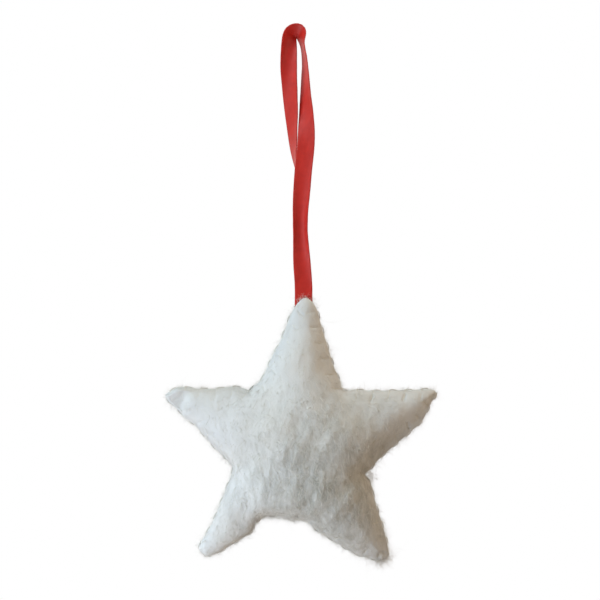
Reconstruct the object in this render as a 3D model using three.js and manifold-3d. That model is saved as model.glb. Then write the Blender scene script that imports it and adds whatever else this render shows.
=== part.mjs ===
// A stuffed felt star that hangs on a loop of satin ribbon.
// Two felt layers are whipped together round their edge over a pad of stuffing, and both ends of
// one ribbon are caught between the layers at the star's top point.
// Millimetres. +Z is up, +X is to the viewer's right and the star's front faces -Y.
// The origin is where the ribbon rests on the hook or twig that carries it.
import * as THREE from "three";
import { mergeVertices } from "three/addons/utils/BufferGeometryUtils.js";
import Module from "manifold-3d";

const wasm = await Module();
wasm.setup();

// The star as it is cut: each corner's place from the star's centre and its radius,
// clockwise from the top point.
const STAR_CENTRE = { x: 1.3, z: -147 };
const CORNERS = [
  { x: 1.5, z: 58.7, r: 4 }, // top point
  { x: 15.3, z: 18, r: 1.5 }, // notch
  { x: 49.3, z: 18.2, r: 1.5 }, // right point, upper corner
  { x: 45, z: 7.7, r: 5 }, // right point, lower corner
  { x: 23.2, z: -12.1, r: 2.5 }, // notch
  { x: 33.5, z: -48.7, r: 4.6 }, // right foot
  { x: 2.5, z: -29.5, r: 4 }, // crotch, right end
  { x: -12.3, z: -26.2, r: 4 }, // crotch, left end
  { x: -18.8, z: -32.4, r: 5 }, // swell of the left foot
  { x: -41.8, z: -48.6, r: 3.7 }, // left foot
  { x: -25, z: -9.7, r: 3 }, // notch
  { x: -50.7, z: 19, r: 2.3 }, // left point
  { x: -17.9, z: 18.4, r: 1.5 }, // notch
  { x: -14, z: 22.7, r: 6 }, // swell of the top point
];

// Felt and stuffing.
const FELT = 1.3; // thickness of a layer
const FELT_RIM = 1.05; // its thickness at the cut edge, where the thread pinches it
const LAYER_GAP = 0.15; // from the middle plane to either layer along the seam
const CROWN = 12; // how far the stuffing lifts each layer at the star's centre
const CROWN_POWER = 0.62; // below 1, the sides draw in steeply at the seam
const SEAM_OUTER = 0.95; // shares of the outline's size: the seam's stitch holes lie between these
const SEAM_INNER = 0.905;
const PUFF_RINGS = [
  { share: 0.86, spacing: 8 },
  { share: 0.78, spacing: 8 },
  { share: 0.64, spacing: 10 },
  { share: 0.45, spacing: 14 },
  { share: 0.23, spacing: 24 },
];
const PAD_RIM = 0.81; // share of the outline's size that the stuffing reaches
const PAD_GAP = 0.5; // between the stuffing and a layer

// Thread.
const STITCHES = 58;
const FIRST_STITCH = 6.2; // along the edge from the tip of the top point
const END_LEG = 2.2; // from the last stitch to the thread's last crossing of the edge
const THREAD = 0.5; // diameter
const THREAD_SIDES = 5;
const HOLE = 1.1; // width of a stitch hole
const HOLE_SHARE = (SEAM_OUTER + SEAM_INNER) / 2;
const LEAST_LEAN = 0.42; // sine of the angle past which a slanting hole gets no wider
const BITE_END = 1; // share of the outline's size where a stitch turns over the edge
const OVER_EDGE = 0.95; // how far outside the edge the thread crosses it
const OVER_HEIGHT = 0.8; // and how far from the middle plane it turns there
const CLEAR = 0.3; // room left between pieces that touch
const KNOT = 0.65; // radius
const KNOT_RISE = 0.6; // how much higher over the felt the thread ends in it

// Ribbon.
const RIBBON_WIDTH = 6.35;
const RIBBON_THICK = 0.4;
const RIBBON_STEP = 1.6; // along the loop
const LAYER_OFFSET = 0.35; // of each ribbon layer from the middle plane, where the felt holds them
const RIBBON_X = 2.2; // the ribbon's middle at the star
const SWING_ABOVE_TIP = 2.3; // the swing axis over the felt's tip
const SWING_CLEAR = 1.5; // from the swing axis to the ribbon above it and below it
const NECK_GAP = 0.6;
const TAIL = 11; // length of each ribbon end below the swing axis
const TAIL_STRAIGHT = 4; // how far they go down before they spread apart
const TAIL_SPLAY = THREE.MathUtils.degToRad(16);
const SLOT_FADE = 4; // over which the seam closes again beside the ribbon's ends

// The loop's route: up the back strand, over the hook and down the front strand.
// roll turns the ribbon's width from towards the viewer (0) to away from the loop's middle (90).
const LOOP_ROUTE = [
  { x: 1.6, y: 1.15, z: -83.6, roll: 255 },
  { x: 1.5, y: 1.5, z: -78, roll: 243 },
  { x: 1.1, y: 1.9, z: -70, roll: 226 },
  { x: 0.6, y: 2, z: -61, roll: 208 },
  { x: -0.3, y: 2, z: -51, roll: 184 },
  { x: -1.3, y: 1.8, z: -43, roll: 163 },
  { x: -1.7, y: 1.5, z: -36, roll: 148 },
  { x: -2.1, y: 1, z: -28, roll: 132 },
  { x: -2.7, y: 0.4, z: -18, roll: 114 },
  { x: -3.2, y: 0.1, z: -10, roll: 88 },
  { x: -3.35, y: 0, z: -5, roll: 66 },
  { x: -3.05, y: 0, z: -1.9, roll: 52 },
  { x: -2.2, y: 0, z: -0.3, roll: 48 },
  { x: -0.6, y: 0, z: 0.22, roll: 52 },
  { x: 0.55, y: 0, z: 0.02, roll: 50 },
  { x: 1.15, y: 0, z: -0.8, roll: 40 },
  { x: 1.5, y: 0, z: -2.3, roll: 26 },
  { x: 1.8, y: 0, z: -4, roll: 15 },
  { x: 2.15, y: -0.1, z: -6.2, roll: 11 },
  { x: 2.65, y: -0.3, z: -9.8, roll: 15 },
  { x: 2.9, y: -0.7, z: -15.5, roll: 23 },
  { x: 3, y: -1.3, z: -22.5, roll: 34 },
  { x: 3.25, y: -1.9, z: -31, roll: 55 },
  { x: 3.1, y: -2.2, z: -40, roll: 80 },
  { x: 2.25, y: -2.2, z: -49, roll: 84 },
  { x: 1.3, y: -2, z: -60, roll: 84 },
  { x: 1.05, y: -1.7, z: -69, roll: 82 },
  { x: 1.35, y: -1.4, z: -77, roll: 84 },
  { x: 1.6, y: -1.15, z: -83.6, roll: 88 },
];

// Materials.
const FELT_LOOK = { color: 0xdcdcd4, roughness: 1, metalness: 0 };
const STUFFING_LOOK = { color: 0xf0efec, roughness: 1, metalness: 0 };
const THREAD_LOOK = { color: 0xd6d3c9, roughness: 0.85, metalness: 0 };
const RIBBON_LOOK = { color: 0xb3261f, roughness: 0.38, metalness: 0 };

// The outline as one path of straight edges and corner arcs.
function roundedOutline(corners) {
  const path = new THREE.Path();
  const at = (corner) => new THREE.Vector2(corner.x, corner.z);
  corners.forEach((corner, i) => {
    const here = at(corner);
    const before = at(corners.at(i - 1)).sub(here).normalize();
    const after = at(corners[(i + 1) % corners.length]).sub(here).normalize();
    const half = Math.acos(before.dot(after)) / 2;
    const setback = corner.r / Math.tan(half);
    const centre = before.clone().add(after).setLength(corner.r / Math.sin(half)).add(here);
    const start = before.clone().multiplyScalar(setback).add(here).sub(centre);
    const end = after.clone().multiplyScalar(setback).add(here).sub(centre);
    const clockwise = before.cross(after) > 0;
    path.absarc(centre.x, centre.y, corner.r, start.angle(), end.angle(), clockwise);
  });
  path.closePath();
  return path;
}

const outline = roundedOutline(CORNERS);
const perimeter = outline.getLength();

// Distances along the edge are counted clockwise from the tip of the top point.
const arcMiddles = outline.curves
  .map((curve, i) => ({ curve, end: outline.getCurveLengths()[i] }))
  .filter(({ curve }) => curve.isEllipseCurve)
  .map(({ curve, end }) => end - curve.getLength() / 2);
const tipAlong = arcMiddles[0];
const wrap = (share) => ((share % 1) + 1) % 1;
const shareOf = (along) => wrap((along + tipAlong) / perimeter);
const cornerAlongs = arcMiddles.map((along) => wrap((along - tipAlong) / perimeter) * perimeter);

// The outline's point at a distance along the edge, at a share of its size, from the star's centre.
function edgePoint(along, share = 1) {
  return outline.getPoint(shareOf(along)).multiplyScalar(share);
}
// The outline's direction there, and a point a distance outside the edge.
function edgeTangent(along) {
  return edgePoint(along + 0.01).sub(edgePoint(along - 0.01)).normalize();
}
function outsideEdge(along, distance) {
  const tangent = edgeTangent(along);
  return edgePoint(along).add(new THREE.Vector2(-tangent.y, tangent.x).multiplyScalar(distance));
}

// The stitches' distances along the edge, and each hole's half width there.
const stitchPitch = (perimeter - 2 * FIRST_STITCH) / (STITCHES - 1);
const stitches = Array.from({ length: STITCHES }, (_, i) => {
  const along = FIRST_STITCH + i * stitchPitch;
  const lean = Math.max(LEAST_LEAN, Math.abs(edgePoint(along).normalize().cross(edgeTangent(along))));
  return { along, half: HOLE / 2 / lean / HOLE_SHARE };
});

// The seam's rings share these distances: both sides of each hole, and the corners between holes.
function seamAlongs() {
  const list = stitches.flatMap((s, i) => [
    { along: s.along - s.half, hole: i },
    { along: s.along + s.half },
  ]);
  for (const along of cornerAlongs) {
    if (stitches.every((s) => Math.abs(s.along - along) > s.half + 0.4)) list.push({ along });
  }
  return list.sort((a, b) => a.along - b.along);
}

// Evenly spread distances that take in every corner.
function puffAlongs(spacing) {
  const stops = [...cornerAlongs].sort((a, b) => a - b);
  return stops.flatMap((start, i) => {
    const end = stops[i + 1] ?? perimeter + stops[0];
    const parts = Math.max(1, Math.round((end - start) / spacing));
    return Array.from({ length: parts }, (_, k) => ({ along: start + ((end - start) * k) / parts }));
  });
}

const TIP = edgePoint(0);
const SWING_Z = STAR_CENTRE.z + TIP.y + SWING_ABOVE_TIP;
const TAIL_TOP = SWING_Z - SWING_CLEAR - STAR_CENTRE.z; // from the star's centre, as TAIL_X is
const TAIL_X = RIBBON_X - STAR_CENTRE.x;

// How far a ribbon end has moved sideways at a distance below its top.
function tailSpread(below) {
  return Math.max(0, below - TAIL_STRAIGHT) * Math.tan(TAIL_SPLAY);
}

// How far each layer stands off the middle plane to let the ribbon's ends in.
function slotLift(p) {
  const below = TAIL_TOP - p.y;
  const reach = RIBBON_WIDTH / 2 + tailSpread(below);
  const outside = Math.max(Math.abs(p.x - TAIL_X) - reach, below - TAIL, 0);
  const lift = LAYER_OFFSET + RIBBON_THICK / 2 + CLEAR - LAYER_GAP;
  return lift * Math.max(0, 1 - outside / SLOT_FADE);
}

// A distance to the seam that stays smooth where two edges are equally near.
const seamCorners = CORNERS.map((c) => new THREE.Vector3(c.x, c.z, 0).multiplyScalar(SEAM_OUTER));
function softDistance(p) {
  const point = new THREE.Vector3(p.x, p.y, 0);
  const nearest = new THREE.Vector3();
  const sum = seamCorners.reduce((total, corner, i) => {
    const edge = new THREE.Line3(corner, seamCorners[(i + 1) % seamCorners.length]);
    const distance = edge.closestPointToPoint(point, true, nearest).distanceTo(point);
    return total + distance ** -3;
  }, 0);
  return sum ** (-1 / 3);
}
const centreDistance = softDistance(new THREE.Vector2(0, 0));

// Height of a layer's inner face over the middle plane.
function innerHeight(p, share) {
  const puff = share < SEAM_OUTER ? CROWN * (softDistance(p) / centreDistance) ** CROWN_POWER : 0;
  return LAYER_GAP + Math.max(slotLift(p), puff);
}
function outerHeight(p, share) {
  const rim = THREE.MathUtils.clamp((1 - share) / (1 - SEAM_OUTER), 0, 1);
  return innerHeight(p, share) + THREE.MathUtils.lerp(FELT_RIM, FELT, rim);
}

// Points and triangles of one closed surface.
class Skin {
  constructor() {
    this.points = [];
    this.triangles = [];
  }
  ring(alongs, share, height) {
    return alongs.map(({ along, hole }) => {
      const p = edgePoint(along, share);
      return { index: this.add(p, height(p, share)), along, hole };
    });
  }
  add(p, height) {
    this.points.push([p.x, height, p.y]);
    return this.points.length - 1;
  }
  triangle(a, b, c, flip) {
    this.triangles.push(flip ? [c.index, b.index, a.index] : [a.index, b.index, c.index]);
  }
  // Joins an outer and an inner ring that may have different counts; keep says which steps to fill.
  band(outer, inner, flip, keep = () => true) {
    let i = 0;
    let j = 0;
    const alongAt = (ring, k) => ring[k % ring.length].along + (k < ring.length ? 0 : perimeter);
    while (i < outer.length || j < inner.length) {
      const a = outer[i % outer.length];
      const b = inner[j % inner.length];
      const filled = keep(outer[Math.min(i, outer.length - 1)]);
      const outerFirst = alongAt(outer, i + 1) <= alongAt(inner, j + 1) + 1e-9;
      if (j >= inner.length || (i < outer.length && outerFirst)) {
        i += 1;
        if (filled) this.triangle(a, outer[i % outer.length], b, flip);
      } else {
        j += 1;
        const last = keep(outer[Math.max(0, i - 1)]);
        if (last) this.triangle(a, inner[j % inner.length], b, flip);
      }
    }
  }
  // Fills the middle of a ring.
  fan(ring, centre, flip) {
    ring.forEach((a, i) => this.triangle(a, ring[(i + 1) % ring.length], { index: centre }, flip));
  }
  geometry(side) {
    const positions = this.points.flatMap(([x, y, z]) => [x, side * y, z]);
    const faces = side < 0 ? this.triangles.map(([a, b, c]) => [c, b, a]) : this.triangles;
    const geometry = new THREE.BufferGeometry();
    geometry.setAttribute("position", new THREE.Float32BufferAttribute(positions, 3));
    geometry.setIndex(faces.flat());
    geometry.computeVertexNormals();
    return geometry;
  }
}

// One face of the puffed-up middle, from a ring inwards.
function puffFace(skin, firstRing, height, flip) {
  let ring = firstRing;
  for (const { share, spacing } of PUFF_RINGS) {
    const next = skin.ring(puffAlongs(spacing), share, height);
    skin.band(ring, next, flip);
    ring = next;
  }
  const middle = new THREE.Vector2(0, 0);
  skin.fan(ring, skin.add(middle, height(middle, 0)), flip);
}

// A felt layer with its stitch holes. side is -1 for the front and 1 for the back.
function feltLayer(side) {
  const skin = new Skin();
  const alongs = seamAlongs();
  const solid = (v) => v.hole === undefined;
  const faces = [outerHeight, innerHeight].map((height, k) => {
    const flip = k === 1;
    const rim = skin.ring(alongs, 1, height);
    const outer = skin.ring(alongs, SEAM_OUTER, height);
    const inner = skin.ring(alongs, SEAM_INNER, height);
    skin.band(rim, outer, flip);
    skin.band(outer, inner, flip, solid);
    puffFace(skin, inner, height, flip);
    return { rim, outer, inner };
  });
  const [top, bottom] = faces;
  const wall = (a, b, c, d) => {
    skin.triangle(a, c, b);
    skin.triangle(b, c, d);
  };
  top.rim.forEach((v, i) => {
    const j = (i + 1) % top.rim.length;
    wall(v, top.rim[j], bottom.rim[i], bottom.rim[j]);
    if (v.hole === undefined) return;
    const around = [
      [top.outer[j], bottom.outer[j]],
      [top.outer[i], bottom.outer[i]],
      [top.inner[i], bottom.inner[i]],
      [top.inner[j], bottom.inner[j]],
    ];
    around.forEach(([up, down], k) => wall(up, around[(k + 1) % 4][0], down, around[(k + 1) % 4][1]));
  });
  return skin.geometry(side);
}

// The stuffing fills the room between the layers, up to the ribbon's ends.
function stuffingPad() {
  const skin = new Skin();
  const padHeight = (p, share) => innerHeight(p, share) - PAD_GAP;
  const first = PUFF_RINGS.findIndex(({ share }) => share < PAD_RIM);
  const rim = skin.ring(puffAlongs(PUFF_RINGS[first].spacing), PAD_RIM, () => 0);
  for (const side of [1, -1]) {
    const height = (p, share) => side * padHeight(p, share);
    let ring = rim;
    for (const { share, spacing } of PUFF_RINGS.slice(first)) {
      const next = skin.ring(puffAlongs(spacing), share, height);
      skin.band(ring, next, side < 0);
      ring = next;
    }
    const middle = new THREE.Vector2(0, 0);
    skin.fan(ring, skin.add(middle, height(middle, 0)), side < 0);
  }
  return skin.geometry(1);
}

// A curve that steps through every one of its points.
class PointRun extends THREE.Curve {
  constructor(points) {
    super();
    this.points = points;
  }
  getPoint(t, target = new THREE.Vector3()) {
    const at = t * (this.points.length - 1);
    const i = Math.min(Math.floor(at), this.points.length - 2);
    return target.lerpVectors(this.points[i], this.points[i + 1], at - i);
  }
  getPointAt(u, target) {
    return this.getPoint(u, target);
  }
  getTangentAt(u, target = new THREE.Vector3()) {
    const step = 1 / (this.points.length - 1);
    const ahead = this.getPoint(Math.min(1, u + step));
    return target.subVectors(ahead, this.getPoint(Math.max(0, u - step))).normalize();
  }
}

// The thread's run: through each hole from the back, over the edge and on to the next hole.
function threadRun() {
  const lift = THREAD / 2 + CLEAR;
  const point = (along, share, side, extra = 0) => {
    const p = edgePoint(along, share);
    return new THREE.Vector3(p.x, side * (outerHeight(p, share) + lift + extra), p.y);
  };
  const over = (along, side) => {
    const p = outsideEdge(along, OVER_EDGE);
    return new THREE.Vector3(p.x, side * OVER_HEIGHT, p.y);
  };
  const run = [];
  stitches.forEach(({ along }, i) => {
    const last = i === stitches.length - 1;
    const next = last ? along + END_LEG : stitches[i + 1].along;
    const step = next - along;
    run.push(point(along, HOLE_SHARE, 1, i === 0 ? KNOT_RISE : 0));
    run.push(point(along, HOLE_SHARE, -1), point(along, BITE_END, -1));
    run.push(over(along + 0.25 * step, -1), over(along + 0.75 * step, 1), point(next, BITE_END, 1));
    if (last) run.push(point(next, SEAM_OUTER, 1, KNOT_RISE));
  });
  return run;
}

// A manifold-3d solid of a closed geometry, and the geometry of a solid.
function toSolid(geometry) {
  const bare = new THREE.BufferGeometry();
  bare.setAttribute("position", geometry.getAttribute("position"));
  bare.setIndex(geometry.getIndex());
  const merged = mergeVertices(bare, 1e-3);
  return new wasm.Manifold(
    new wasm.Mesh({
      numProp: 3,
      vertProperties: merged.attributes.position.array,
      triVerts: new Uint32Array(merged.index.array),
    }),
  );
}
function fromSolid(solid) {
  const { vertProperties, triVerts } = solid.getMesh();
  const geometry = new THREE.BufferGeometry();
  geometry.setAttribute("position", new THREE.BufferAttribute(vertProperties, 3));
  geometry.setIndex(new THREE.BufferAttribute(triVerts, 1));
  geometry.computeVertexNormals();
  return geometry;
}

// A regular section of the thread.
function threadSection() {
  const turn = (i) => (2 * Math.PI * i) / THREAD_SIDES;
  const corner = (i) => new THREE.Vector2(Math.cos(turn(i)), Math.sin(turn(i)));
  return new THREE.Shape(
    Array.from({ length: THREAD_SIDES }, (_, i) => corner(i).multiplyScalar(THREAD / 2)),
  );
}

function knotAt(point) {
  const rise = Math.sign(point.y) * (KNOT - THREAD / 2);
  return new THREE.IcosahedronGeometry(KNOT, 1).translate(point.x, point.y + rise, point.z);
}

function edgeStitching() {
  const run = threadRun();
  printLeastGap(run);
  const tube = new THREE.ExtrudeGeometry(threadSection(), {
    steps: run.length - 1,
    extrudePath: new PointRun(run),
  });
  const knots = [run[0], run.at(-1)].map((point) => toSolid(knotAt(point)));
  return fromSolid(knots.reduce((solid, knot) => solid.add(knot), toSolid(tube)));
}

// The least gap between stretches of the thread that don't follow each other.
function printLeastGap(run) {
  const dense = new PointRun(run).getSpacedPoints((run.length - 1) * 6);
  const apart = 18; // points between two stretches, past which they aren't the same bend
  let least = Infinity;
  dense.forEach((p, i) => {
    for (let j = i + apart; j < dense.length; j += 1) least = Math.min(least, p.distanceTo(dense[j]));
  });
  console.log(`least gap of the thread to itself ${(least - THREAD).toFixed(2)} mm`);
}

// A ribbon's centre line, whose frames follow the roll along it.
class RibbonCurve extends THREE.CatmullRomCurve3 {
  constructor(route) {
    super(route.map((p) => new THREE.Vector3(p.x, p.y, p.z)));
    this.rolls = new THREE.CatmullRomCurve3(route.map((p) => new THREE.Vector3(p.roll, 0, 0)));
  }
  computeFrenetFrames(segments) {
    const frames = { tangents: [], normals: [], binormals: [] };
    for (let i = 0; i <= segments; i += 1) {
      const tangent = this.getTangentAt(i / segments);
      const roll = this.rolls.getPoint(this.getUtoTmapping(i / segments)).x;
      const outward = new THREE.Vector3(-tangent.z, 0, tangent.x).normalize();
      const forward = new THREE.Vector3().crossVectors(tangent, outward);
      const width = forward.applyAxisAngle(tangent, -THREE.MathUtils.degToRad(roll));
      frames.tangents.push(tangent);
      frames.normals.push(width);
      frames.binormals.push(new THREE.Vector3().crossVectors(tangent, width));
    }
    return frames;
  }
}

// The ribbon's flat section, with its edges eased.
function ribbonSection() {
  const [w, t, ease] = [RIBBON_WIDTH / 2, RIBBON_THICK / 2, RIBBON_THICK / 4];
  const quarter = [
    [w, t - ease],
    [w - ease, t],
  ];
  const half = [...quarter, ...quarter.map(([x, y]) => [-x, y]).reverse()];
  const whole = [...half, ...half.map(([x, y]) => [-x, -y])];
  return new THREE.Shape(whole.map(([x, y]) => new THREE.Vector2(x, y)));
}

function ribbonStrip(route, steps) {
  return new THREE.ExtrudeGeometry(ribbonSection(), { steps, extrudePath: new RibbonCurve(route) });
}

function ribbonLoop() {
  const steps = Math.round(new RibbonCurve(LOOP_ROUTE).getLength() / RIBBON_STEP);
  return ribbonStrip(LOOP_ROUTE, steps);
}

// One strand of the doubled ribbon under the loop. side is -1 for the front strand.
function neckStrand(side) {
  const end = side < 0 ? LOOP_ROUTE.at(-1) : LOOP_ROUTE[0];
  const top = { x: end.x + 0.05, y: end.y * 0.92, z: end.z - NECK_GAP, roll: end.roll };
  const bottomZ = SWING_Z + SWING_CLEAR;
  const bottom = { x: RIBBON_X, y: side * LAYER_OFFSET, z: bottomZ, roll: side < 0 ? 90 : 270 };
  const middle = {
    x: (top.x + bottom.x) / 2,
    y: (top.y + bottom.y) / 2,
    z: (top.z + bottom.z) / 2,
    roll: (top.roll + bottom.roll) / 2,
  };
  const route = [top, middle, bottom];
  return ribbonStrip(side < 0 ? route : route.reverse(), 4);
}

// One end of the ribbon between the felt layers, pierced where the edge thread catches it.
function ribbonTail(side) {
  const at = (below) => ({
    x: TAIL_X - side * tailSpread(below),
    y: side * LAYER_OFFSET,
    z: TAIL_TOP - below,
    roll: side < 0 ? 90 : 270,
  });
  const route = [at(0), at(TAIL_STRAIGHT / 2), at(TAIL_STRAIGHT), at(TAIL)];
  let solid = toSolid(ribbonStrip(side < 0 ? route : route.reverse(), 5));
  for (const { along } of [stitches[0], stitches.at(-1)]) {
    const hole = edgePoint(along, HOLE_SHARE);
    const punch = new THREE.CylinderGeometry(HOLE / 2, HOLE / 2, 4, 8).translate(hole.x, 0, hole.y);
    solid = solid.subtract(toSolid(punch));
  }
  return fromSolid(solid);
}

// The stuffing gives way round the ribbon's ends.
function stuffingRoundTails() {
  const room = 2 * (LAYER_OFFSET + RIBBON_THICK / 2 + CLEAR);
  const width = RIBBON_WIDTH + 2 * tailSpread(TAIL) + 2 * CLEAR;
  const height = 2 * TAIL;
  const box = new THREE.BoxGeometry(width, room, height);
  box.translate(TAIL_X, 0, TAIL_TOP - TAIL - 3 * CLEAR + height / 2);
  return fromSolid(toSolid(stuffingPad()).subtract(toSolid(box)));
}

function piece(name, geometry, look) {
  const mesh = new THREE.Mesh(geometry, new THREE.MeshStandardMaterial(look));
  mesh.name = name;
  return mesh;
}

const star = new THREE.Group();
star.position.set(STAR_CENTRE.x, 0, STAR_CENTRE.z);
star.add(
  piece("front_felt", feltLayer(-1), FELT_LOOK),
  piece("back_felt", feltLayer(1), FELT_LOOK),
  piece("stuffing", stuffingRoundTails(), STUFFING_LOOK),
  piece("edge_stitching", edgeStitching(), THREAD_LOOK),
  piece("ribbon_tail_front", ribbonTail(-1), RIBBON_LOOK),
  piece("ribbon_tail_back", ribbonTail(1), RIBBON_LOOK),
);

const ornament = new THREE.Group();
ornament.add(
  star,
  piece("ribbon_loop", ribbonLoop(), RIBBON_LOOK),
  piece("ribbon_neck_front", neckStrand(-1), RIBBON_LOOK),
  piece("ribbon_neck_back", neckStrand(1), RIBBON_LOOK),
);

export default ornament;
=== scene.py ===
"""A stuffed felt star on a loop of satin ribbon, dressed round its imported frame.

Shapes are worked out in millimetres, in the frame's axes: +Z up, +X to the viewer's right and the
star's front facing -Y. They become metres where a mesh is made.
"""

import math
from functools import partial

import bpy
import numpy as np
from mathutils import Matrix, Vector, noise
from mathutils.geometry import delaunay_2d_cdt


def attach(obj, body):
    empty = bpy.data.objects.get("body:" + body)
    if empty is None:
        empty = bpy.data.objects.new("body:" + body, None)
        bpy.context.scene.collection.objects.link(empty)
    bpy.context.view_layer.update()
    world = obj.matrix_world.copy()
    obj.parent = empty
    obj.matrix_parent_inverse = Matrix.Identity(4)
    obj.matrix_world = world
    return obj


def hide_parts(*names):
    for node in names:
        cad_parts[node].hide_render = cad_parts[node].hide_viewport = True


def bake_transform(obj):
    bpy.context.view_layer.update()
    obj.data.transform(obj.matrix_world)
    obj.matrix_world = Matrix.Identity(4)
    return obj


MM = 0.001
TINY = 1e-12
SPAN_POINTS = 24  # on a smooth curve, between given points
SEED_STEP = 17.3  # from one seed's noise to the next one's

# Camera and stage.
FRAME_WIDTH = 216  # of the picture, at the star
FRAME_CENTRE = (0.9, -96.6)  # x and z
CAMERA_DISTANCE = 700
SENSOR = 36
FLOOR_Z = -290
FLOOR_RADIUS = 560
FLOOR_SIDES = 96
FLOOR_COLOUR = (0.86, 0.86, 0.86, 1)
FLOOR_BOUNCE = (0.6, 0.5, 0.42, 1)  # the colour it sends back up
FLOOR_FADE = (150, 450)  # from the origin, where it turns into background
FLOOR_GLOW = 0.75  # of the background before that
LIT = (0, 0, -135)  # where the lamps point
# Each lamp's name, place, size, power and colour.
LAMPS = [
    ("window", (-180, -120, 160), 200, 0.64, (0.76, 0.95, 1)),
    ("low_window", (-200, -140, -220), 100, 0.405, (0.8, 0.9, 1)),
    ("room", (260, -100, 100), 200, 0.37, (1, 0.75, 0.5)),
    ("back", (160, 640, 60), 500, 2.4, (0.96, 0.98, 1)),
]
WORLD_COLOUR = (1, 0.84, 0.66, 1)
WORLD_LIGHT = 0.22

# The star's edge, clockwise from the top point, from the star's centre.
STAR_CENTRE = np.array([1.3, 0, -147])
OUTLINE = [
    (1.3, 51.2), (3.9, 49.9), (5.6, 46.9), (7.5, 40.3), (9.6, 33.4), (12.1, 25.5), (14.1, 21),  # top point
    (15.2, 17.9), (19.5, 18), (27, 17.7), (38, 17.9), (46.6, 18.2), (48.4, 17.5), (48.5, 15.6),  # right point
    (47, 13.9), (45.4, 10.5), (43.1, 6.4), (38.5, 2.4), (33.6, -1.8), (28.5, -6.3), (24.8, -10.4),
    (22.9, -12.3), (24.9, -15.4), (25.6, -18.4), (27.5, -25.2), (29.6, -31.9), (31, -37.3),  # right foot
    (31.3, -41.2), (29.4, -43.4), (25.5, -42.7), (19.5, -40.9), (14.3, -37.8), (9.6, -34.9), (5.5, -32.3),
    (2.7, -29.6), (0.6, -28.5), (-3.2, -28.8), (-6.3, -27.2), (-10.4, -27.1), (-13.6, -27.5),  # crotch
    (-15.8, -29.4), (-17.6, -32.7), (-21.7, -35.6), (-26.7, -38.6), (-30.8, -41), (-34.1, -41.7),  # left foot
    (-36.7, -39.2), (-35.9, -36.6), (-33.6, -32.8), (-30.8, -27.2), (-28.8, -22.3), (-26.7, -16.9),
    (-25.2, -12.8), (-24.6, -9.7), (-26.5, -7.2), (-31.4, -2.4), (-35, 1.8), (-38.6, 5.8), (-42, 8.2),
    (-43.6, 10.2), (-47.5, 13.8), (-48.9, 16.1), (-46.6, 17.8), (-44, 19.1), (-41.2, 18.9),  # left point
    (-37, 18.4), (-30.2, 18.5), (-24.1, 19.2), (-20.1, 18.4), (-18.6, 17.8), (-17, 19.4), (-14.5, 21.4),
    (-12, 26.4), (-10.2, 30.5), (-7.8, 34.7), (-5.8, 39.6), (-3.4, 45.9), (-1.5, 49),
]

# Felt and its swelling.
EDGE_STEP = 0.8  # between points along the star's edge
EDGE_GAP = 0.6  # of that, from the edge to the next points
RIM_BAND = 5  # from the edge, where the sheet's points are as close
INNER_STEP = 1.1
COARSE_STEP = 1.5  # of the edge, where it is only measured to
TANGENT_REACH = 0.4  # to either side, for the edge's direction
MERGED = 1e-6  # points closer than this are one
CROWN = 12.4  # of either face over the middle plane, at the star's centre
CROWN_POWER = 0.48
FILM_ROUNDS = 600
FILM_ERROR = 1e-16  # of the film's load, at which the rounds stop
RIM_OUTER = 1.1  # of the felt's outer face from the middle plane, at the edge
RIM_PINCH = 0.2  # how much the thread pinches that
PINCH_REACH = 1.2
RIM_INNER = 0.1  # the least of its inner face
RIBBON_ROOM = 0.5  # added to both where the ribbon's tails lie
ROOM_X = 1.3  # the middle of that room
ROOM_SIDES = (6, 3)  # from that middle, where it opens
ROOM_END = (35, 43)  # along z, where it opens
FELT = 1.3
SQUARE_BAND = 3  # from the edge, where the felt turns square to the middle plane
SIM_SCALE = 10
SIM_FRAMES = 30
SIM_QUALITY = 8
SIM_STIFFNESS = {"tension": 40, "compression": 40, "shear": 10, "bending": 4}
SIM_PRESSURE = 0.25
SIM_SLACK = 0.004  # how much larger the felt is cut than it is sewn
SIM_SOFTENED = 8  # rounds of smoothing, because thick felt takes no sharp crease

# Stuffing.
FILL_GAP = 0.25  # between the stuffing and the felt
FILL_LUMPS = 0.12
FILL_LUMP_SIZE = 6
FILL_LEAST = 0.3  # of its half thickness
FILL_SHORT = 0.6  # how far it stops short of the stitches' holes
FILL_TOP = 40  # from the star's centre, under the ribbon's ends

# Lumps of a face: height, size, seed and how much taller than wide they are.
SWELLS = (0.5, 13, 1, 1)  # of the whole face
LUMPS = (0.9, 4.4, 5, 2.4)  # of the stuffing under the worn felt
SURFACE = [(0.15, 2.2, 9, 1), (0.1, 1.5, 13, 2.6), (0.05, 0.9, 17, 5)]  # of the worn felt itself
LUMPS_LEAN = 0.45  # sideways, of their height
LUMPS_FADE = 6  # from the edge

# The front's tightly filled body, and steps in the front.
BODY_LIFT = 1.7  # how far the body stands over the rest
BODY_CENTRE = np.array([6, -9])
BODY_RADII = np.array([19, 27])
BODY_EDGE = (1.42, 0.58)  # of those radii, where it rises
# Each step's height, where it rises along x, and its z and reach.
STEPS = [
    (1.6, (-22, -13), -21, 8),  # from the left leg to the body
    (1.4, (7, 16), -33, 8),  # from the crotch to the right leg
]
FORM_FADE = 5  # from the edge, of the body and the steps

# The left point is folded flat past a line through this place, towards this direction.
FOLD = np.array([-40.6, 14.8])
FOLD_WAY = np.array([-0.94, 0.34])
FOLD_FLATTENS = 0.8
FOLD_SPAN = (-1, 3)  # past the line, where it gets flat
FOLD_RIM = 1.2  # from the edge, over which it does
FOLD_HEIGHT = 2.4
FOLD_LEAN = 0.35  # how far its lower part stands back from its upper part
CREASE = 0.35  # the height of the crease along the line
CREASE_AT = -2  # past the line
CREASE_REACH = 1.5
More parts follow.
